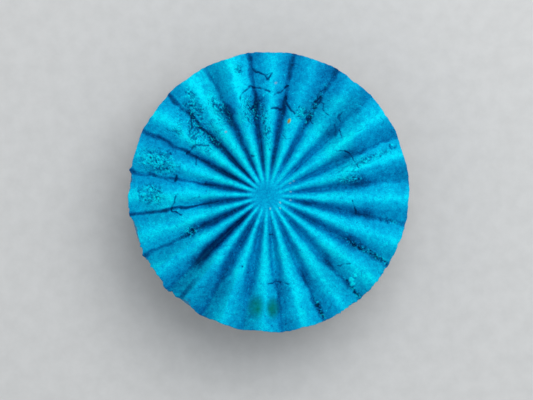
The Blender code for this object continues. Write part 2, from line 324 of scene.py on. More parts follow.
# The top's colours from its deepest tone, 0, to its palest, 1; the tone holds the dye together with painted
# shade and painted light
DYE_AND_SHADE_RAMP = [
    (0.0, (0.0, 0.013, 0.085)),
    (0.15, (0.0, 0.042, 0.17)),
    (0.35, (0.0, 0.12, 0.34)),
    (0.55, (0.0, 0.25, 0.53)),
    (0.75, (0.0, 0.42, 0.71)),
    (1.0, (0.0, 0.76, 0.945)),
]
# Colours of the spots, by the value that paints them
SPOTS = {
    "stain": (0.0, 0.16, 0.07),
    "ochre": (0.45, 0.30, 0.04),
    "pink": (0.30, 0.25, 0.38),
    # painted highlight: pale glints of the light on small grains near the hub
    "painted_glint": (0.30, 0.72, 0.76),
}
TEAL_SHIFT = (0.6, 1.15, 0.82)
FRESH_CHIP = (0.0, 0.68, 0.86)
CRACK_NAVY = (0.0, 0.022, 0.09)
WET_BLUE = (0.02, 0.8, 1.0, 1.0)


def stone_material():
    """Blue dyed mineral grains: navy in the valleys from dye and painted shade, cyan on the crests from
    wear and a painted sheen, with stains, flecks and painted glints.
    """
    n = Nodes("porous_stone")
    tone = n.attribute("tone")
    blotch = n.noise(9.0)
    mottle = n.noise(1.6, 4.0, 0.6)
    grain = n.noise(0.5, 3.0, 0.7)
    tone = n.shifted(n.shifted(n.shifted(tone, blotch, 0.22), mottle, 0.5), grain, 0.62)
    wear = n.attribute("wear")
    chips = n.noise(1.4, 3.0, 0.65, distortion=1.2)
    sunk = n.maths("MULTIPLY", n.ramp(chips, [(0.38, 0.75), (0.46, 0.0)]), wear)
    proud = n.maths("MULTIPLY", n.ramp(chips, [(0.54, 0.0), (0.60, 0.8)]), wear)
    away = n.maths("ABSOLUTE", n.maths("SUBTRACT", n.noise(2.8, 2.0, 0.5, distortion=1.0)))
    hairline = n.ramp(away, [(0.008, 1.0), (0.03, 0.0)])
    hair = n.maths("MULTIPLY", hairline, n.maths("MULTIPLY_ADD", wear, 0.6, 0.1))
    cracked = n.maths("POWER", n.attribute("crack"), 1.4)
    cracked = n.maths("MAXIMUM", cracked, n.maths("MAXIMUM", sunk, hair))
    tone = n.maths("MULTIPLY_ADD", cracked, -0.42, tone, clamp=True)
    # dye with painted shade and painted light, by the tone
    dye_and_shade = n.ramp(tone, DYE_AND_SHADE_RAMP)
    # teal tint: partly random, partly painted light on one side of the flutes
    dye_and_shade = n.mix(n.attribute("teal_and_side_light"), dye_and_shade, TEAL_SHIFT, "MULTIPLY")
    for name, colour in SPOTS.items():
        dye_and_shade = n.mix(n.attribute(name), dye_and_shade, colour)
    dye_and_shade = n.mix(proud, dye_and_shade, FRESH_CHIP)
    dye_and_shade = n.mix(n.maths("MULTIPLY", cracked, 0.55), dye_and_shade, CRACK_NAVY)
    rough = n.ramp(grain, [(0.2, 0.42), (0.8, 0.66)])
    rough = n.mix(cracked, rough, (0.85, 0.85, 0.85))
    cells = n.texture("ShaderNodeTexVoronoi", 0.35).outputs["Distance"]
    normal = n.bump(n.maths("SUBTRACT", proud, sunk), 0.2, 0.8)
    normal = n.bump(cells, 0.05, 0.35, normal)
    normal = n.bump(grain, 0.10, 0.5, normal)
    normal = n.bump(mottle, 0.14, 0.5, normal)
    return n.finish(dye_and_shade, rough, normal, Specular_IOR_Level=0.35, Specular_Tint=WET_BLUE)


def moulded_material(name, dark, light, rough, texture_mm, texture_depth):
    """Moulded plastic or rubber with a fine texture, flow marks and slight changes of shade."""
    n = Nodes(name)
    flow = n.noise(14.0, 4.0, 0.6)
    texture = n.noise(texture_mm, 2.0, 0.6)
    dust = n.noise(3.0, 6.0, 0.7)
    colour = n.ramp(flow, [(0.3, dark), (0.7, light)])
    specks = n.ramp(dust, [(0.60, 0.0), (0.74, 0.35)])
    colour = n.mix(specks, colour, tuple(min(1.0, 1.5 * c + 0.02) for c in light))
    roughness = n.ramp(dust, [(0.3, rough - 0.06), (0.75, rough + 0.12)])
    normal = n.bump(texture, texture_depth, 0.6)
    normal = n.bump(flow, 0.08, 0.4, normal)
    return n.finish(colour, roughness, normal, Specular_IOR_Level=0.45)


def resin_material():
    """Cured grey adhesive with a milky, uneven body."""
    n = Nodes("resin")
    cloud = n.noise(4.0, 4.0)
    fine = n.noise(0.8)
    colour = n.ramp(cloud, [(0.3, (0.20, 0.24, 0.26)), (0.7, (0.38, 0.41, 0.41))])
    roughness = n.ramp(fine, [(0.3, 0.22), (0.7, 0.42)])
    normal = n.bump(cloud, 0.15, 0.5, n.bump(fine, 0.04, 0.5))
    return n.finish(colour, roughness, normal)


def steel_material():
    """Stamped stainless steel: fine rolling marks along X and a few darker scuffs."""
    n = Nodes("stainless_steel")
    stretch = n.add("ShaderNodeMapping")
    n.put(n.where, stretch, "Vector")
    n.put((0.08, 1.0, 1.0), stretch, "Scale")
    plain = n.where
    n.where = stretch.outputs["Vector"]
    lines = n.noise(0.12, 4.0, 0.7)
    n.where = plain
    scuffs = n.noise(1.5, 5.0, 0.65)
    colour = n.ramp(scuffs, [(0.35, (0.42, 0.42, 0.43)), (0.6, (0.62, 0.62, 0.61))])
    roughness = n.ramp(lines, [(0.3, 0.22), (0.7, 0.42)])
    return n.finish(colour, roughness, n.bump(lines, 0.01, 0.5), Metallic=1.0)


# --- Stone ---

STONE_LOW, STONE_HIGH = levels("diffuser_stone")
SCALLOP = 0.3  # how far CAD's rim swells beyond the plain circle
STONE_RADIUS = reach("diffuser_stone") - SCALLOP
FLUTES = 20
HALF_FLUTE = 180 / FLUTES  # in degrees
HUB_TONE = 0.63  # of the dye where the flutes meet
FINEST = 960  # points round the rim
HALVING_RADII = (25.0, 12.5, 6.2, 3.0)  # inside each, the rings of the top have half as many points
ROW_STEP = 0.31  # between rings of the top
POLE = np.array((-0.88, -1.17))  # where the flutes meet, off the rim's centre
HUB_RADIUS = 3.3
ROUNDING = 0.45  # of the edge between top and side wall
EDGE_ROWS = 10  # rings below the rim over which the top's dye fades into the side wall's
SIDE_ROWS = 21  # rings of the side wall
CHAMFER = 0.8  # round the underside
ANNULUS = 32.6  # radius where the deep inner valleys end in a low step
INNER_DEPTHS = (2.7, 3.3)  # least and most depth of a flute inside the annulus
OUTER_DEPTHS = (2.0, 2.5)  # and outside it


def crest_level(radius):
    """Height of the crests: dished at the hub and rolled off towards the rim."""
    dish = 0.8 * fall(radius, HUB_RADIUS, 4 * HUB_RADIUS)
    roll = np.clip(radius / STONE_RADIUS - 0.7, 0, None) / 0.3
    return STONE_HIGH - dish - 1.1 * roll**2


def flute_phase(angle):
    """0 and 1 in a flute's valleys and 0.5 on its crest. Flutes differ a little in width."""
    wander = 0.2 - 0.75 * np.cos(angle) + 0.55 * np.sin(angle)
    wander = wander + 0.2 * np.cos(2 * angle) + 0.15 * np.sin(2 * angle)
    return ((angle - np.radians(wander)) / math.tau * FLUTES) % 1.0


def off_crest(angle):
    """0 on a crest and 1 in a valley, for angles about the pole in radians."""
    return np.abs(2 * flute_phase(angle) - 1)


def of_valley(values, angle):
    """The value of the nearest valley, from a list that runs counterclockwise from +X."""
    return np.asarray(values, float)[np.floor(angle / math.tau * FLUTES + 0.5).astype(int) % FLUTES]


def per_flute(angle, low, high, seed):
    """A random value of each valley's own, eased from crest to crest."""
    values = np.random.default_rng(seed).uniform(low, high, FLUTES)
    share = off_crest(angle)
    return of_valley(values, angle) * share + values.mean() * (1 - share)


def flute_section(off, radius):
    """0 on the crest, 1 in the valley: rounded ridges inside the annulus and flat faces outside it."""
    inner = (1 - np.cos(math.pi * off**1.15)) / 2
    soft = 0.3
    outer = (np.hypot(off, soft) - soft) / (math.hypot(1, soft) - soft)
    share = rise(radius, ANNULUS - 2.5, ANNULUS + 1.5)
    return inner * (1 - share) + outer * share


def flute_depth(radius, angle):
    """From crest to valley, in mm: none at the hub, most inside the annulus."""
    grown = rise(radius, HUB_RADIUS, 5 * HUB_RADIUS)
    step = rise(radius, ANNULUS - 1.5, ANNULUS + 1.2)
    inner = per_flute(angle, *INNER_DEPTHS, 11)
    outer = per_flute(angle, *OUTER_DEPTHS, 12)
    return grown * (inner * (1 - step) + outer * step)


def wall_noise(angle, z, scale, seed, layers=3):
    """Noise that runs round the side wall without a seam."""
    out = STONE_RADIUS + z
    return layered_noise(out * np.cos(angle), out * np.sin(angle), scale, seed, layers)


def near(angle, middle, width):
    """1 at an angle of middle degrees, easing to 0 width degrees away."""
    away = np.abs((np.degrees(angle) - middle + 180) % 360 - 180)
    return fall(away, 0, width)


def swells(angle, *places):
    """Sum of swells that each have a middle and half width in degrees, and a size."""
    return sum(size * near(angle, middle, width) for middle, width, size in places)


# Broken or worn places of the rim: middle and half width in degrees, and mm outwards
RIM_CHIPS = [
    (168, 4.5, -0.9), (189.5, 4, -1), (203, 4.5, -0.8), (227, 5, -0.9),
    (180, 3, 0.3), (198.5, 2.2, 0.3), (215, 4, 0.25), (13, 6, -0.45),
    (131, 3, -0.3), (258, 5, -0.25), (301, 4, -0.3), (318, 3.5, -0.35),
    (340, 3, -0.25), (47, 3, -0.25), (108, 4, -0.2),
]


def rim_radius(angle, off):
    """Radius of the rim: valleys reach a little further out than crests, most of all near 200 degrees."""
    scallop = 0.25 + 0.2 * near(angle, 200, 45)
    out = STONE_RADIUS + scallop * (2 * off - 1) - 0.15 * near(angle, 200, 45)
    out = out + swells(angle, *RIM_CHIPS)
    x, y = 40 * np.cos(angle), 40 * np.sin(angle)
    worn = swells(angle, (190, 60, 1.0), (310, 55, 0.8))
    ragged = 0.16 * (1 + 1.3 * worn) * layered_noise(x, y, 3.0, 21)
    ragged = ragged + 0.15 * (1 + 3.5 * worn) * layered_noise(x, y, 1.0, 25, 2)
    ragged = ragged + 0.36 * np.tanh(6 * value_noise(x, y, 1.8, 27)) * near(angle, 200, 60)
    return np.minimum(out + ragged, STONE_RADIUS + 0.75)


def rim_points(angle):
    """Points of the rim in directions from the pole, and how far off the plain circle they are."""
    toward = np.column_stack([np.cos(angle), np.sin(angle)])
    off = off_crest(angle)
    rim = np.full_like(angle, STONE_RADIUS)
    for _ in range(4):
        along_pole = toward @ POLE
        length = np.sqrt(rim**2 - POLE @ POLE + along_pole**2) - along_pole
        points = POLE + toward * length[:, None]
        rim = rim_radius(np.arctan2(points[:, 1], points[:, 0]), off)
    return points, rim - STONE_RADIUS


def along(length, degrees):
    """A step of this length in a direction."""
    return length * np.array((math.cos(math.radians(degrees)), math.sin(math.radians(degrees))))


def polar(radius, degrees):
    """A place on the top, from the point where the flutes meet."""
    return POLE + along(radius, degrees)


def strewn_place(rng, spread, centre, long, wide, turn):
    """A random place, most likely near the centre of an ellipse."""
    c, s = along(1, turn)
    u, v = rng.normal(0, spread, 2) * (long, wide)
    return np.array((centre[0] + u * c - v * s, centre[1] + u * s + v * c))


def disc_rings():
    """Radius as a share of the rim's, and number of points, for each ring of the top from the rim in."""
    rings, radius = [], STONE_RADIUS - ROUNDING
    while radius > 0.25:
        halvings = sum(radius < limit for limit in HALVING_RADII)
        rings.append((radius / STONE_RADIUS, FINEST >> halvings))
        radius -= ROW_STEP
    return rings


PAINTS = ("crack", "wear", *SPOTS)


class Marks:
    """Heights and stains, and painted light and shade, that marks add to the points of the stone's top."""

    def __init__(self, x, y):
        self.x, self.y = x, y
        self.height = np.zeros_like(x)
        self.paint = {name: np.zeros_like(x) for name in PAINTS}
        self.tone = np.zeros_like(x)

    def offsets(self, centre, turn, which=slice(None)):
        """Distances from centre along a direction of turn degrees, and across it."""
        dx, dy = self.x[which] - centre[0], self.y[which] - centre[1]
        c, s = along(1, turn)
        return dx * c + dy * s, dy * c - dx * s

    def cover(self, name, value, which=slice(None)):
        """Paints value where it is more than what is there."""
        self.paint[name][which] = np.maximum(self.paint[name][which], value)

    def blob(self, centre, long, wide, turn, edge):
        """1 inside an ellipse of these half axes, easing to 0 outside it."""
        u, v = self.offsets(centre, turn)
        return fall(np.hypot(u / long, v / wide), 1 - edge, 1 + edge)

    def fleck(self, centre, long, wide, turn, height, tone, crack=0.0):
        """A small long grain or pit, which lifts or lowers the surface and lightens or darkens the dye."""
        close_x = np.abs(self.x - centre[0]) < 2 * long
        close = np.flatnonzero(close_x & (np.abs(self.y - centre[1]) < 2 * long))
        u, v = self.offsets(centre, turn, close)
        bend = 0.5 * u**2 / long
        inside = fall(np.hypot(u / long, (v + bend) / wide), 0.3, 1.2)
        self.height[close] += height * inside
        self.tone[close] += tone * inside
        self.cover("crack", crack * inside, close)

    def pit(self, centre, radius, depth, dark=0.8):
        self.fleck(centre, radius, 0.85 * radius, 0, -depth, 0, dark)

    def ring_pit(self, centre, radius, width, turn, gap):
        """A round groove, as a burst bubble leaves. The share gap of it is missing, towards turn."""
        u, v = self.offsets(centre, turn)
        uneven = value_noise(self.x, self.y, 0.9, 29)
        away = np.abs(np.hypot(u, v * 1.15) - radius + 0.3 * uneven)
        groove = fall(away, 0.2 * width, width) * np.clip(0.7 + 0.8 * uneven, 0.1, 1)
        groove = groove * (np.cos(np.arctan2(v, u)) < math.cos(math.pi * gap))
        self.height -= 0.3 * groove
        self.cover("crack", 0.8 * groove)

    def crumb(self, centre, radius, height, light):
        """A grain that stands proud, with a painted shadow as a dark foot below it."""
        foot = (centre[0] - 0.4 * radius, centre[1] - 0.9 * radius)
        # painted shadow below the grain
        self.fleck(foot, 1.1 * radius, 0.8 * radius, 0, 0, -0.2)
        self.fleck(centre, radius, 0.8 * radius, 20, height, light + 0.2)

    def line(self, points, width, depth, dark, seed):
        """A crack along straight pieces between points, with a wandering course and uneven width."""
        (left, low), (right, high) = np.min(points, 0) - 2.5, np.max(points, 0) + 2.5
        close = np.flatnonzero((self.x > left) & (self.x < right) & (self.y > low) & (self.y < high))
        if not len(close):
            return
        px, py = self.x[close], self.y[close]
        x = px + 1.1 * layered_noise(px, py, 3.0, 300 + seed, 3)
        y = py + 1.1 * layered_noise(px, py, 3.0, 400 + seed, 3)
        nearest = np.full_like(x, 1e9)
        for (ax, ay), (bx, by) in zip(points, points[1:]):
            dx, dy = bx - ax, by - ay
            t = np.clip(((x - ax) * dx + (y - ay) * dy) / (dx * dx + dy * dy), 0, 1)
            nearest = np.minimum(nearest, np.hypot(x - ax - t * dx, y - ay - t * dy))
        strength = np.clip(0.85 + 0.6 * value_noise(px, py, 1.1, 500 + seed), 0.35, 1)
        crack = fall(nearest / (0.35 + 0.8 * strength), 0.15 * width, width) * strength
        self.height[close] -= depth * crack
        self.cover("crack", dark * crack, close)

    def cluster(self, centre, long, wide, turn, pits, crumbs, seed, size=(0.28, 0.75)):
        """Short dark strokes and light grains strewn over an ellipse, thickest in its middle."""
        self.cover("wear", self.blob(centre, 1.1 * long, 1.3 * wide, turn, 0.6))
        rng = np.random.default_rng(seed)
        for i in range(pits + crumbs):
            place = strewn_place(rng, 0.45, centre, long, wide, turn)
            length = rng.uniform(*size)
            ellipse = place, length, length * rng.uniform(0.25, 0.7), turn + rng.uniform(-75, 75)
            if i < pits:
                self.fleck(*ellipse, rng.uniform(-0.4, -0.15), -0.15, rng.uniform(0.1, 0.8))
            else:
                self.fleck(*ellipse, rng.uniform(0.12, 0.3), rng.uniform(0.15, 0.45))

    def scratches(self, centre, long, wide, turn, count, seed):
        """Short gouges that run roughly one way."""
        rng = np.random.default_rng(seed)
        for i in range(count):
            middle = strewn_place(rng, 0.5, centre, long, wide, turn)
            run = along(rng.uniform(0.5, 1.5), turn + rng.uniform(-25, 25))
            width = rng.uniform(0.2, 0.36)
            self.line([middle - run, middle + run], width, 0.2, rng.uniform(0.4, 0.8), seed + i)


# Cracks in the skin: width in mm, then radius in mm and direction in degrees for each point
CRACKS = [
    (0.30, [(34.5, 10), (34, 19), (32, 23), (30, 25.5)]),
    (0.26, [(33.5, 29.5), (35.5, 35.5)]),
    (0.28, [(36.5, 45.5), (38, 50), (40, 55)]),
    (0.30, [(31, 51), (33, 53.5)]),
    (0.60, [(31.5, 65.5), (34, 71), (36, 72.5)]),
    (0.26, [(24, 55), (21.5, 64.5), (24, 71)]),
    (0.50, [(32, 74.5), (31.5, 80)]),
    (0.50, [(41, 72.5), (37.5, 76), (37, 79)]),
    (0.52, [(44.5, 80.5), (42, 82.5), (44, 86), (46.5, 89.5)]),
    (0.52, [(37.5, 81.5), (39.5, 87), (40, 91.5), (38, 96), (36, 99)]),
    (0.40, [(15.5, 99), (15.5, 104)]),
    (0.50, [(40.5, 127), (35.5, 134)]),
    (0.38, [(34.5, 129), (33, 136)]),
    (0.50, [(28, 132), (32, 138.5), (33, 145)]),
    (0.36, [(29, 146), (28, 150)]),
    (0.75, [(33.5, 161), (33.5, 164.5)]),
    (0.30, [(20, 156), (22, 158.5), (22.5, 163)]),
    (0.42, [(33, 173), (34.5, 179), (34.5, 181), (31.5, 186.5)]),
    (0.30, [(28, 176.5), (24, 174)]),
    (0.32, [(31.5, 264), (32, 270), (33, 277)]),
    (0.40, [(14, 267), (14, 274)]),
    (0.30, [(36, 308), (37, 311), (39, 314)]),
    (0.36, [(33, 341), (33, 345), (31, 349)]),
]

# Worn patches: radius in mm and direction in degrees, length and width in mm, the way that they run in
# degrees, and how many dark strokes and light grains they hold
PATCHES = [
    (45.6, 341.3, 2.6, 0.7, 341, 12, 7), (42, 324, 9, 0.8, 324, 46, 34),
    (47.6, 305.5, 3.5, 0.7, 305, 16, 10), (45.8, 288, 5, 0.6, 288, 22, 10),
    (31.2, 198.5, 2.8, 1.5, 200, 14, 24), (32.3, 60.5, 2.2, 1.5, 65, 16, 26),
    (31, 95, 5, 2.2, 97, 50, 16), (36.5, 112, 6, 2, 112, 50, 26),
    (41, 156, 7, 3.2, 156, 80, 80), (42, 173, 5, 3.2, 172, 60, 44),
    (41, 123, 4.2, 2.6, 130, 44, 36), (47, 95.5, 1.8, 1.2, 95, 12, 8),
    (46, 120, 3, 1.6, 120, 16, 10), (26, 84, 7, 1.6, 90, 34, 16),
    (36, 55, 7.5, 0.9, 55, 28, 12), (40, 13, 7, 1, 14, 16, 12),
    (31, 4, 4, 1, 3, 6, 16),
]
FIRST_PATCH_SEED = 50
# Scratched patches: radius, direction, length, width, the way they run, number of scratches and seed
SCRATCHES = [
    (40.6, 138.5, 2.6, 1.6, 150, 18, 70), (41, 122.5, 2.6, 1.8, 152, 16, 90),
    (41.5, 151.5, 4, 1.6, 160, 16, 110), (39.5, 159, 5, 1.6, 205, 20, 130),
    (42, 173.5, 3.2, 2.2, 205, 20, 150), (35, 112.5, 2.4, 1.6, 140, 16, 170),
    (34, 90, 2.4, 2, 30, 14, 190), (26, 216.7, 1.6, 0.9, 80, 5, 210),
    (37, 40, 6, 1.6, 250, 12, 220), (33, 12, 5.5, 2, 20, 14, 240),
]
PINK_SPECKS = [(41, 78.6), (27.5, 116)]
# Painted highlights near the hub: radius in mm and direction in degrees
PAINTED_GLINTS = [(9.5, 21), (11.1, 21.5), (5.4, 325), (4.9, 277), (6.6, 309), (8.7, 342), (8.7, 2)]


def paint_spots(m):
    """Stains and specks of other colours, a darker patch near the rim, painted shade at the annulus step
    and painted glints.
    """
    stain = m.blob(polar(40.6, 257.8), 3.3, 2.3, 258, 0.8) * 0.85
    stain = np.maximum(stain, m.blob(polar(41.0, 266.0), 3.0, 1.9, 266, 0.75))
    m.paint["stain"] = 0.95 * stain * (0.8 + 0.3 * layered_noise(m.x, m.y, 1.5, 31))
    m.tone -= 0.30 * m.paint["stain"]
    m.tone -= 0.28 * m.blob(polar(45.0, 223.0), 4.5, 0.9, 223, 0.6)
    # painted shade below the low step at the annulus
    m.tone -= 0.22 * m.blob(polar(33.5, 87.5), 2.6, 2.4, 87, 0.6)
    m.tone -= 0.16 * m.blob(polar(34.0, 106.5), 2.8, 1.8, 107, 0.6)
    m.paint["ochre"] = m.blob(polar(28.2, 66.6), 0.85, 0.5, 60, 0.3)
    m.height += 0.3 * m.paint["ochre"]
    for place in PINK_SPECKS:
        m.cover("pink", 0.6 * m.blob(polar(*place), 0.45, 0.34, 0, 0.4))
    # painted highlights, on slightly raised grains
    for place in PAINTED_GLINTS:
        painted_glint = 0.7 * m.blob(polar(*place), 0.36, 0.2, place[1], 0.4)
        m.cover("painted_glint", painted_glint)
        m.height += 0.2 * painted_glint


def make_marks(x, y):
    """The marks of wear on this stone, its stains, and its painted glints and shade."""
    m = Marks(x, y)
    for i, (width, points) in enumerate(CRACKS):
        m.line([polar(*point) for point in points], width, 0.8 * width, 1.0, i)
    m.pit(polar(42.3, 82.8), 0.8, 0.5, 1.0)
    m.ring_pit(polar(42.7, 82.5), 1.3, 0.45, 260, 0.6)
    m.ring_pit(polar(49.2, 14.9), 1.4, 0.55, 80, 0.35)
    m.crumb(polar(49.0, 15.2), 0.5, 0.1, 0.1)
    m.ring_pit(polar(39.9, 299.3), 1.15, 0.45, 80, 0.7)
    m.pit(polar(44.0, 287.5), 0.75, 0.5)
    m.pit(polar(27.3, 244.0), 0.5, 0.4, 1.0)
    m.pit(polar(20.7, 235.0), 0.4, 0.4)
    for i, (radius, degrees, *rest) in enumerate(PATCHES):
        m.cluster(polar(radius, degrees), *rest, FIRST_PATCH_SEED + i)
    fine = (0.2, 0.5)
    m.cluster(polar(34.0, 130.0), 8.0, 5.0, 130, 60, 50, FIRST_PATCH_SEED + len(PATCHES), fine)
    for radius, degrees, *rest in SCRATCHES:
        m.scratches(polar(radius, degrees), *rest)
    m.crumb(polar(43.2, 308.2), 1.1, 0.3, 0.9)
    m.crumb(polar(44.6, 307.2), 1.0, 0.3, 0.9)
    m.crumb(polar(43.3, 310.8), 0.7, 0.25, 0.7)
    m.pit(polar(42.4, 306.4), 0.7, 0.4)
    m.paint["wear"] *= np.clip(0.7 + 0.9 * layered_noise(x, y, 2.5, 33), 0, 1)
    paint_spots(m)
    return m


PORES = 1400
HAIRLINES = 150


def strew_pores(m):
    """Small pores and loose grains all over, thickest along the valleys, and faint hairline cracks."""
    rng = np.random.default_rng(7)
    made = 0
    while made < PORES:
        radius, degrees = 50 * math.sqrt(rng.uniform(0.01, 1)), rng.uniform(0, 360)
        in_valley = float(off_crest(np.array([math.radians(degrees)]))[0])
        if rng.uniform() > 0.25 + 0.75 * in_valley**2:
            continue
        made += 1
        size, way = rng.uniform(0.2, 0.42), rng.uniform(0, 360)
        ellipse = polar(radius, degrees), size, 0.6 * size, way
        if rng.uniform() < 0.6:
            m.fleck(*ellipse, -0.12, -0.12, rng.uniform(0.0, 0.5))
        else:
            m.fleck(*ellipse, 0.12, rng.uniform(0.1, 0.3))
    for i in range(HAIRLINES):
        start = polar(50 * math.sqrt(rng.uniform(0.05, 1)), rng.uniform(0, 360))
        way = rng.uniform(0, 360)
        bend = start + along(rng.uniform(0.6, 2.5), way)
        end = bend + along(rng.uniform(0.6, 2.5), way + rng.uniform(-50, 50))
        m.line([start, bend, end], rng.uniform(0.18, 0.3), 0.12, rng.uniform(0.15, 0.5), 600 + i)


# Darkening that each valley holds, dye together with painted shade, in tenths and counterclockwise from +X:
# in its inner part, and in the crease beyond
INNER_DYE_AND_SHADE = (3, 2, 2, 4, 6, 6, 6, 8, 7, 5, 5, 6, 8, 4, 2, 0, 2, 2, 3, 4)
CREASE_DYE_AND_SHADE = (2, 3, 1, 4, 5, 5, 4, 8, 6, 6, 9, 5, 2, 2, 1, 3, 4, 4, 4, 3)
# Radius in mm where the inner part of each valley runs out
DYE_AND_SHADE_ENDS = (36, 35, 34, 30, 35, 35, 35, 32, 29, 23, 24, 30, 35, 33, 33, 32, 33, 33, 38, 37)


def painted_side_light(angle):
    """Painted light: how much lighter a flute's falling face is than its rising one beyond the annulus,
    changing round the stone with how each face turns to the light.
    """
    places = (14, 45, 0.15), (100, 38, -0.28), (182, 30, 0.06), (225, 20, -0.06), (282, 26, 0.13)
    return 0.06 + swells(angle, *places)


def face_tone(angle, phase, off):
    """How light the flat faces beyond the annulus are: lighter towards the crest from wear and a painted
    sheen, lighter on one side as painted light, with broad lighter and darker sectors.
    """
    falling = -np.clip(np.sin(math.tau * phase) / 0.4, -1, 1)
    # lighter crests: wear and a painted sheen; the lean is painted light on one side of each flute
    tone = 0.82 - 0.22 * rise(off, 0.0, 0.75) + 0.62 * painted_side_light(angle) * falling
    tone = tone + swells(angle, (112, 35, 0.07), (180, 20, 0.06), (228, 30, -0.18), (58, 30, -0.13))
    # painted sheen on the crests near 140 degrees
    return tone + 0.12 * near(angle, 140, 24) * fall(off, 0.1, 0.5)


def inner_dye_and_shade(radius, angle, phase, off, swerve):
    """Darkening along the inner valleys, dye together with painted shade: a soft band with a dark core, as
    wide as the place allows.
    """
    end = of_valley(DYE_AND_SHADE_ENDS, angle)
    before = 3.6 - 1.4 * np.cos(angle - math.radians(33)) - 1.6 * near(angle, 278, 45)
    after = 4.1 + 1.1 * np.cos(angle - math.radians(300)) + 1.2 * near(angle, 80, 22)
    after = after - 1.7 * near(angle, 15, 42) * fall(radius, 20, 28)
    side = HALF_FLUTE * (1 - off) / np.where(phase > 0.5, before, after)
    taper = np.sqrt(np.clip(1 - np.clip((radius / end - 0.5) / 0.55, 0, 1) ** 2, 0, 1))
    left = near(angle, 165, 130)
    start = rise(radius + 1.5 * swerve, 3.5 - 1.5 * left, 15.0 - 6.0 * left)
    band = 0.26 * fall(side / (0.6 + 0.6 * taper), 0.5, 1.5) * start
    band = band * fall(radius, end - 2, end + 6)
    # dye and painted shade: the dark core of each inner valley
    core = 0.85 * (of_valley(INNER_DYE_AND_SHADE, angle) / 10 - 0.2) * start
    core = core * fall(side / (0.15 + 0.75 * taper), 0.1, 1.3)
    return band + core * fall(radius, end - 5, end + 1)


def crease_dye_and_shade(radius, angle, off):
    """Darkening in the narrow creases beyond the inner valleys: dye together with painted shade."""
    end = of_valley(DYE_AND_SHADE_ENDS, angle)
    ragged = value_noise(radius, 40 * angle, 2.5, 15)
    width = 0.07 + 0.03 * ragged
    # dye and painted shade along each crease
    dye_and_shade = 0.72 * of_valley(CREASE_DYE_AND_SHADE, angle) / 10 * fall(1 - off, 0.3 * width, 2.6 * width)
    return dye_and_shade * rise(radius, end - 6, end) * (0.85 + 0.3 * ragged)


def valley_tone(radius, angle):
    """How light the top is: 1 on the crests, lightened by wear and a painted sheen, 0 in the deepest
    valleys, darkened by dye and painted shade.
    """
    x, y = radius * np.cos(angle), radius * np.sin(angle)
    swerve = layered_noise(x, y, 4.0, 16, 2)
    phase = flute_phase(angle + np.radians(swerve) * rise(radius, 8, 20))
    off = np.abs(2 * phase - 1)
    step = rise(radius, ANNULUS - 5.0, ANNULUS + 3.0)
    # crests lighter than the valley sides: wear and a painted sheen
    inner = 0.88 - 0.16 * rise(off, 0.2, 0.9)
    tone = inner * (1 - step) + face_tone(angle, phase, off) * step
    # dye and painted shade darken the valleys
    tone = tone - inner_dye_and_shade(radius, angle, phase, off, swerve) - crease_dye_and_shade(radius, angle, off)
    tone = tone + 0.05 * layered_noise(x, y, 7.0, 17) + 0.04 * layered_noise(x, y, 2.2, 18)
    grown = rise(radius, 0.7 * HUB_RADIUS, 2.2 * HUB_RADIUS)
    return HUB_TONE * (1 - grown) + tone * grown


def stone_top():
    """Points of the top, ring by ring from the rim in, and the values that colour them."""
    rings = disc_rings()
    shares = np.concatenate([np.full(count, share) for share, count in rings])
    angles = np.concatenate([np.arange(count) * math.tau / count for _, count in rings])
    rim, outwards = rim_points(angles)
    reach_out = rim - POLE
    plain = reach_out * (1 - outwards / STONE_RADIUS)[:, None]
    edge_only = rise(shares, 0.90, 1.0)[:, None]
    x, y = (POLE + shares[:, None] * (plain + (reach_out - plain) * edge_only)).T
    radius = np.hypot(x, y)
    from_pole = np.hypot(x - POLE[0], y - POLE[1])
    off = off_crest(angles)
    height = crest_level(radius) - flute_depth(from_pole, angles) * flute_section(off, from_pole)
    marks = make_marks(x, y)
    strew_pores(marks)
    lumps = 0.10 * layered_noise(x, y, 6.0, 41) + 0.035 * layered_noise(x, y, 0.9, 45, 2)
    fade = rise(shares, 0.05, 0.15)
    height = height + lumps + marks.height * fade
    chipped = np.clip(-0.3 - outwards, 0, None)
    height = height - 0.8 * chipped * rise(shares, 0.965, 1.0)
    tone = valley_tone(from_pole, angles) + marks.tone
    return rings, np.column_stack([x, y, height]), tone, marks.paint


def stone_side(top_edge):
    """Rings of the rounded edge, the side wall and the chamfer, from the top down."""
    angle = np.arctan2(top_edge[:, 1], top_edge[:, 0])
    inset = np.hypot(top_edge[:, 0], top_edge[:, 1])
    rim = inset + ROUNDING
    rings = []
    for turn in np.radians((22, 45, 68, 90)):
        inwards, down = ROUNDING * (1 - math.sin(turn)), ROUNDING * (1 - math.cos(turn))
        rings.append((rim - inwards, top_edge[:, 2] - down))
    edge_foot = rings[-1][1]
    low = STONE_LOW + CHAMFER
    for t in np.linspace(0, 1, SIDE_ROWS + 1)[1:]:
        z = edge_foot * (1 - t) + low * t
        ease = fall(t, 0.0, 0.6)
        radius = (STONE_RADIUS - 0.15) * (1 - ease) + rim * ease
        radius = radius + 0.09 * wall_noise(angle, z, 2.2, 61) * min(1.0, 4 * t)
        radius = radius + 0.07 * wall_noise(angle, z, 0.9, 65, 2) * min(1.0, 4 * t)
        rings.append((radius, z))
    rings.append((STONE_RADIUS - CHAMFER - 0.05, STONE_LOW))
    return [ring_at(angle, radius, height) for radius, height in rings]


def stone_underside():
    """Rings of the flat underside, from the chamfer in."""
    rings, count, radius = [], FINEST, STONE_RADIUS - 1.6
    while radius > 1.0:
        angle = np.arange(count) * math.tau / count
        rings.append(ring_at(angle, radius, STONE_LOW))
        if count > 15:
            count //= 2
        radius *= 0.86
    return rings


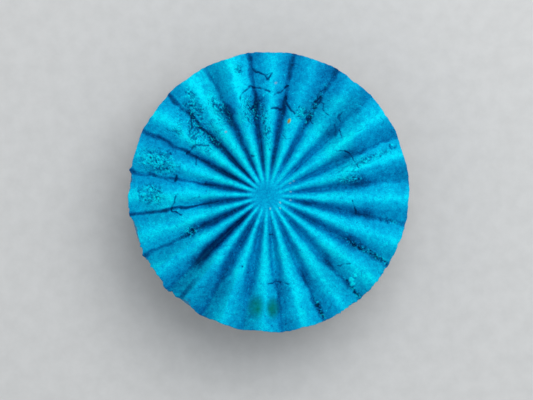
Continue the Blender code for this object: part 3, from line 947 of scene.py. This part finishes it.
def paint_stone(stone, points, top_tone, paint):
    """Gives the points their tone and other values. The top's points come first, from the hub out."""
    angle = np.arctan2(points[:, 1], points[:, 0])
    top_count = len(top_tone)
    tone = 0.52 + 0.12 * wall_noise(angle, points[:, 2], 3.0, 71)
    tone[:top_count] = top_tone
    rim_tone = top_tone[-FINEST:]
    for i in range(EDGE_ROWS):
        row = tone[top_count + i * FINEST: top_count + (i + 1) * FINEST]
        row += (rim_tone - row) * (1 - i / EDGE_ROWS)
    rising = np.clip(np.sin(math.tau * flute_phase(angle)) / 0.4, 0, 1)
    # a random teal tint
    teal_and_side_light = 0.3 * rise(layered_noise(points[:, 0], points[:, 1], 14.0, 81), -0.1, 0.6)
    # painted light: the rising faces on the lower left take a teal tint, as if lit from that side
    teal_and_side_light += 0.5 * near(angle, 225, 60) * rising * rise(np.hypot(*points[:, :2].T), 26, 38)
    below = (0, len(points) - top_count)
    marks = {name: np.pad(data, below) for name, data in paint.items()}
    for name, data in {"tone": tone, "teal_and_side_light": teal_and_side_light, **marks}.items():
        layer = stone.data.attributes.new(name, "FLOAT", "POINT")
        layer.data.foreach_set("value", np.clip(data, 0, 1).astype(np.float32))


def make_stone():
    """The stone as one closed shell: the top from the hub out, the side wall and the underside."""
    rings, top, tone, paint = stone_top()
    side = stone_side(top[:FINEST])
    ends = np.cumsum([count for _, count in rings])[:-1]
    order = np.concatenate(np.split(np.arange(len(top)), ends)[::-1])
    counts = [count for _, count in rings][::-1]
    shells = [top[order], *side, *stone_underside()]
    counts += [len(shell) for shell in shells[1:]]
    faces = [face[::-1] for face in stitch(counts)]
    points = np.concatenate(shells)
    centre, foot = len(points), len(points) + 1
    hub_height = points[:counts[0], 2].mean()
    points = np.concatenate([points, [[*POLE, hub_height], [0, 0, STONE_LOW]]])
    tail = centre - counts[-1]
    faces += [(centre, i, (i + 1) % counts[0]) for i in range(counts[0])]
    faces += [(foot, tail + (i + 1) % counts[-1], tail + i) for i in range(counts[-1])]
    stone = add_object("sculpted_stone", points, faces, stone_material(), "base", 180)
    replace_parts(stone, "diffuser_stone")
    paint_stone(stone, points, tone[order], {name: data[order] for name, data in paint.items()})


# --- Base ---

def place_below(node):
    """Place on the floor below the middle of a CAD node, in mm."""
    low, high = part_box(node)
    x, y, _ = (low + high) / 2 / MM
    return x, y, 0


CUP_PLACES = [place_below(f"suction_cup_{i}") for i in range(1, 5)]
BOSS_HEIGHT = 7.0
WALL_RADIUS = 41.2
WALL_THICKNESS = 2.2
FLOOR_THICKNESS = 2.0


def make_bond_bead():
    """Cured resin that was squeezed out unevenly between stone and base."""
    low, high = levels("bond_bead")
    outer, inner = reach("bond_bead"), 40.0
    count = 480
    angle = np.arange(count) * math.tau / count
    swell = 0.35 * layered_noise(25 * np.cos(angle), 25 * np.sin(angle), 6.0, 91)
    rings = []
    for share, height in ((0, 1), (0.96, 1), (0.99, 0.85), (1.0, 0.5), (0.99, 0.15), (0.96, 0), (0, 0)):
        radius = inner + (outer + swell - 0.1 - inner) * share
        rings.append(ring_at(angle, radius, low + (high - low) * height))
    faces = [face[::-1] for face in stitch([count] * len(rings), closed=True)]
    bead = add_object("resin_bead", np.concatenate(rings), faces, resin_material(), "base")
    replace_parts(bead, "bond_bead")


def make_base():
    """The moulded pan: floor, wall and ledge with rounded corners, and four bosses with fillets."""
    foot, ledge = levels("base_pan")
    low, floor = foot + BOSS_HEIGHT, FLOOR_THICKNESS
    flange, wall = reach("base_pan"), WALL_RADIUS
    inner, bore = wall - WALL_THICKNESS, 5.2
    profile = rounded([
        (inner, ledge, 0.3), (flange, ledge, 0.35), (flange, ledge - 1.8, 0.5),
        (wall + 1.0, ledge - 2.4, 0.8), (wall, low + 1.2, 1.0), (wall - 1.2, low, 1.0),
        (36.6, low, 0.1), (36.3, low + 0.25, 0.1), (35.2, low + 0.25, 0.1), (34.9, low, 0.1),
        (12.3, low, 0.1), (12.0, low + 0.25, 0.1), (11.2, low + 0.25, 0.1), (10.9, low, 0.1),
        (bore, low, 0.15), (bore, low + floor, 0.15),
        (inner - 0.8, low + floor, 0.5), (inner, low + floor + 0.8, 0.5),
    ], 0.3, 4)
    plastic = moulded_material("base_plastic", (0.022, 0.026, 0.03), (0.04, 0.046, 0.052), 0.46, 0.22, 0.03)
    pan = turned("moulded_base", profile, 192, plastic, "base")
    for place in CUP_PLACES:
        boss = rounded([(0, low + 0.8), (7.4, low + 0.8), (7.4, low - 0.02), (6.2, low - 1.3, 1.6),
                        (6.2, foot, 0.4), (0, foot)], 0.05, 6, closed=False)
        boolean(pan, tool(boss, 72, place), "UNION")
        socket = [(0, foot + 4.4), (4.3, foot + 4.4), (4.3, foot + 1.4), (3.1, foot + 1.4),
                  (3.1, foot + 0.4), (3.6, foot - 0.2), (0, foot - 0.2)]
        boolean(pan, tool(socket, 48, place), "DIFFERENCE")
    smooth_again(pan)
    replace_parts(pan, "base_pan")


def make_suction_cups():
    """Rubber cups with soft edges, a moulding ring round the bell and a groove inside the lip."""
    rubber = moulded_material("cup_rubber", (0.012, 0.012, 0.013), (0.026, 0.026, 0.027), 0.42, 0.35, 0.02)
    high = levels("suction_cup_1")[1]
    profile = rounded([
        (0, high), (3.0, high, 0.6), (3.9, high - 1.0, 0.5), (3.9, high - 2.1, 0.15),
        (2.7, high - 2.1, 0.15), (2.7, 7.2, 0.8), (3.8, 6.3, 0.5), (6.3, 5.05, 0.1), (6.5, 5.2, 0.1),
        (6.8, 4.85, 0.1), (6.9, 4.6, 0.1), (9.0, 2.9, 0.8), (10.6, 1.2, 0.5), (11.0, 0.5, 0.3),
        (11.0, 0.0, 0.12), (9.4, 0.0, 0.1), (9.2, 0.35, 0.1), (8.9, 0.45, 0.1), (8.0, 1.1, 0.3),
        (5.0, 2.4, 0.8), (0, 3.2),
    ], 0.2, 5, closed=False)
    for i, place in enumerate(CUP_PLACES, 1):
        cup = turned(f"rubber_cup_{i}", profile, 96, rubber, "base", place, closed=False)
        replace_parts(cup, f"suction_cup_{i}")


# --- Air inlet ---

SWIVEL_MIDDLE = sum(levels("swivel_elbow")) / 2
STEM_LOW, STEM_HIGH = levels("inlet_stem")
JOURNAL_RADIUS = 4.0
THREAD_PITCH = 0.8
NUT_ACROSS_FLATS = 16.0
BARBS = 3


def groove(middle, width, depth):
    """Profile points of a groove round the stem's journal."""
    radius = JOURNAL_RADIUS
    top, bottom, floor = middle + width / 2, middle - width / 2, radius - depth
    return [(radius, top), (floor, top), (floor, bottom), (radius, bottom)]


def make_stem(plastic):
    """The hollow bolt, with its flange, threaded shank and grooved journal."""
    shoulder = levels("swivel_elbow")[1] + 0.3
    flange = STEM_HIGH - 2.0
    thread, pitch, z = [], THREAD_PITCH, flange - 0.5
    while z - pitch > shoulder + 0.5:
        thread += [(4.9, z, 0), (4.62, z - pitch / 2, 0)]
        z -= pitch
    profile = rounded([
        (0, SWIVEL_MIDDLE - 2.0, 0), (1.6, SWIVEL_MIDDLE - 2.0, 0), (1.6, STEM_HIGH, 0.2),
        (8.0, STEM_HIGH, 0.35), (8.0, flange, 0.15), (4.9, flange, 0.1), *thread,
        (4.9, shoulder + 0.3, 0), (4.7, shoulder, 0), (4.0, shoulder, 0.05),
        *groove(SWIVEL_MIDDLE + 2.3, 1.3, 1.1), *groove(SWIVEL_MIDDLE, 2.1, 1.0),
        *groove(SWIVEL_MIDDLE - 2.3, 1.3, 1.1), *groove(levels("retaining_clip")[0] + 0.4, 1.0, 0.9),
        (4.0, STEM_LOW + 0.3, 0.1), (3.7, STEM_LOW, 0.1), (1.3, STEM_LOW, 0.05),
        (1.1, STEM_LOW + 0.25, 0.05), (0, STEM_LOW + 0.3, 0),
    ], 0.04, 2, closed=False)
    stem = turned("hollow_stem", profile, 96, plastic, "base", closed=False)
    hole = [(0, 5.2), (0.9, 5.2), (0.9, -5.2), (0, -5.2)]
    for i in range(2):
        cutter = tool(hole, 24, lying=True)
        cutter.rotation_euler.z = i * math.pi / 2
        cutter.location.z = SWIVEL_MIDDLE * MM
        bpy.context.view_layer.update()
        boolean(stem, cutter, "DIFFERENCE")
    smooth_again(stem)
    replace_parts(stem, "inlet_stem")


def make_rings(rubber, nylon):
    """Sealing washer, O-rings and thrust washer."""
    low, high = levels("stem_washer")
    washer = rounded([(5.2, high), (8.0, high), (8.0, low), (5.2, low)], 0.2, 3)
    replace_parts(turned("seal_washer", washer, 96, rubber, "base"), "stem_washer")
    for side in ("upper", "lower"):
        node = f"elbow_o_ring_{side}"
        middle = sum(levels(node)) / 2
        section = [(3.6 + 0.42 * math.cos(a), middle - 0.42 * math.sin(a))
                   for a in np.arange(20) * math.tau / 20]
        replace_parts(turned(f"o_ring_{side}", section, 96, rubber, "base"), node)
    low, high = levels("thrust_washer")
    outer = reach("thrust_washer")
    thrust = rounded([(4.3, high), (outer, high), (outer, low), (4.3, low)], 0.1, 3)
    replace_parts(turned("nylon_washer", thrust, 96, nylon, "base"), "thrust_washer")


def make_locknut(plastic):
    """A hexagon nut with chamfered corners and a threaded bore."""
    low, high = levels("stem_locknut")
    corner = NUT_ACROSS_FLATS / math.sqrt(3)
    hexagon = [(0, high), (corner, high), (corner, low), (0, low)]
    points, faces = turned_shape(hexagon, 6, closed=False)
    nut = add_object("hexagon_nut", points, faces, plastic, "base")
    cone = rounded([(0, high), (7.6, high, 0.1), (9.3, high - 0.9, 0.1), (9.3, low + 0.9, 0.1),
                    (7.6, low, 0.1), (0, low)], 0.1, 2, closed=False)
    boolean(nut, tool(cone, 96), "INTERSECT")
    bore, z = [(0, high + 0.5), (5.6, high + 0.5), (5.2, high - 0.3)], high - 0.3
    while z - THREAD_PITCH > low + 0.3:
        bore += [(5.5, z - THREAD_PITCH / 2), (5.2, z - THREAD_PITCH)]
        z -= THREAD_PITCH
    bore += [(5.2, low + 0.3), (5.6, low - 0.5), (0, low - 0.5)]
    boolean(nut, tool(bore, 96), "DIFFERENCE")
    break_edges(nut, 0.12, 40)
    smooth_again(nut)
    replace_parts(nut, "stem_locknut")


def make_elbow(plastic):
    """The swivel with its hose barb and a parting line round the ring."""
    low, high = levels("swivel_elbow")
    outer, bore = reach("swivel_elbow"), 4.3
    ring = rounded([
        (bore, high, 0.3), (outer, high, 0.6), (outer, SWIVEL_MIDDLE + 0.12, 0),
        (outer + 0.08, SWIVEL_MIDDLE, 0), (outer, SWIVEL_MIDDLE - 0.12, 0),
        (outer, low, 0.6), (bore, low, 0.3),
    ], 0.3, 5)
    elbow = turned("hose_elbow", ring, 128, plastic, "elbow")
    tip, root = -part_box("swivel_elbow")[0][1] / MM, 10.2
    pitch = (tip - root - 1.6) / BARBS
    spigot = [(0, tip, 0), (2.05, tip, 0.25)]
    for i in range(BARBS):
        base = tip - (i + 1) * pitch
        spigot += [(2.65, base + 0.25 * pitch, 0.06), (2.05, base, 0.2)]
    spigot += [(2.05, root, 0.15), (3.4, root, 0.35), (3.4, 8.4, 0.8)]
    spigot += [(4.0, 7.0, 0), (4.0, 5.6, 0), (0, 5.6, 0)]
    spigot = rounded(spigot, 0.1, 4, closed=False)
    boolean(elbow, tool(spigot, 72, (0, 0, SWIVEL_MIDDLE), lying=True), "UNION")
    airway = [(0, tip + 1), (1.5, tip + 0.4), (1.1, tip - 0.35), (1.1, 3.0), (0, 3.0)]
    boolean(elbow, tool(airway, 36, (0, 0, SWIVEL_MIDDLE), lying=True), "DIFFERENCE")
    smooth_again(elbow)
    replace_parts(elbow, "swivel_elbow")


def finish_clip():
    """The CAD clip keeps its shape, with broken edges and a steel surface."""
    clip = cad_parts["retaining_clip"]
    for slot in clip.material_slots:
        slot.material = steel_material()
    break_edges(clip, 0.08, 50)


def make_inlet():
    """All pieces of the air inlet, with their plastics and rubber."""
    acetal = moulded_material("acetal", (0.045, 0.049, 0.053), (0.075, 0.08, 0.086), 0.34, 0.5, 0.01)
    rubber = moulded_material("seal_rubber", (0.012, 0.012, 0.012), (0.028, 0.028, 0.028), 0.5, 0.3, 0.015)
    nylon = moulded_material("nylon", (0.68, 0.66, 0.60), (0.80, 0.79, 0.74), 0.36, 0.5, 0.01)
    make_stem(acetal)
    make_rings(rubber, nylon)
    make_locknut(acetal)
    make_elbow(acetal)
    finish_clip()


# --- Studio ---

ROLL = -6.9  # the camera's turn about Z, in degrees
VIEW_WIDTH = 193.8  # mm across the picture at the stone's top
AIM = (-0.91, -2.91)  # middle of the picture, right and up of the stone's axis, in mm
CAMERA_HEIGHT = 900.0
SENSOR = 36.0
FLOOR_WIDTH = 6.0  # m


def make_camera():
    """A camera straight above, turned like the view that this scene follows."""
    data = bpy.data.cameras.new("camera")
    camera = link_object("camera", data)
    bpy.context.scene.camera = camera
    spot = along(AIM[0], ROLL) + along(AIM[1], ROLL + 90)
    camera.location = (spot[0] * MM, spot[1] * MM, CAMERA_HEIGHT * MM)
    camera.rotation_euler = (0, 0, math.radians(ROLL))
    data.sensor_width = SENSOR
    data.lens = SENSOR * (CAMERA_HEIGHT - STONE_HIGH + 2) / VIEW_WIDTH
    data.clip_start, data.clip_end = 0.01, 20


def add_light(name, azimuth, elevation, distance, size, power):
    """A square soft light that faces the stone from azimuth and elevation in degrees."""
    data = bpy.data.lights.new(name, "AREA")
    data.shape, data.size, data.energy = "SQUARE", size, power
    light = link_object(name, data)
    a, e = math.radians(azimuth), math.radians(elevation)
    back = (math.cos(a) * math.cos(e), math.sin(a) * math.cos(e), math.sin(e))
    light.location = [distance * part for part in back]
    light.rotation_euler = (math.pi / 2 - e, 0, a + math.pi / 2)


def make_studio():
    """A pale paper floor, a soft sky and one large soft light."""
    n = Nodes("studio_floor")
    paper = n.noise(6.0, 6.0, 0.6)
    colour = n.ramp(paper, [(0.35, (0.60, 0.60, 0.595)), (0.65, (0.64, 0.64, 0.635))])
    n.finish(colour, 0.8)
    mesh = bpy.data.meshes.new("floor")
    half = FLOOR_WIDTH / 2
    corners = [(-half, -half, 0), (half, -half, 0), (half, half, 0), (-half, half, 0)]
    mesh.from_pydata(corners, [], [(0, 1, 2, 3)])
    mesh.materials.append(n.material)
    floor = link_object("floor", mesh)
    world = bpy.data.worlds.new("studio")
    world.use_nodes = True
    background = world.node_tree.nodes["Background"]
    background.inputs["Color"].default_value = (0.93, 0.97, 1.0, 1)
    background.inputs["Strength"].default_value = 0.58
    bpy.context.scene.world = world
    bpy.context.scene.view_settings.view_transform = "Standard"
    add_light("key", azimuth=50, elevation=62, distance=0.8, size=0.6, power=3.8)


make_stone()
make_bond_bead()
make_base()
make_suction_cups()
make_inlet()
make_camera()
make_studio()
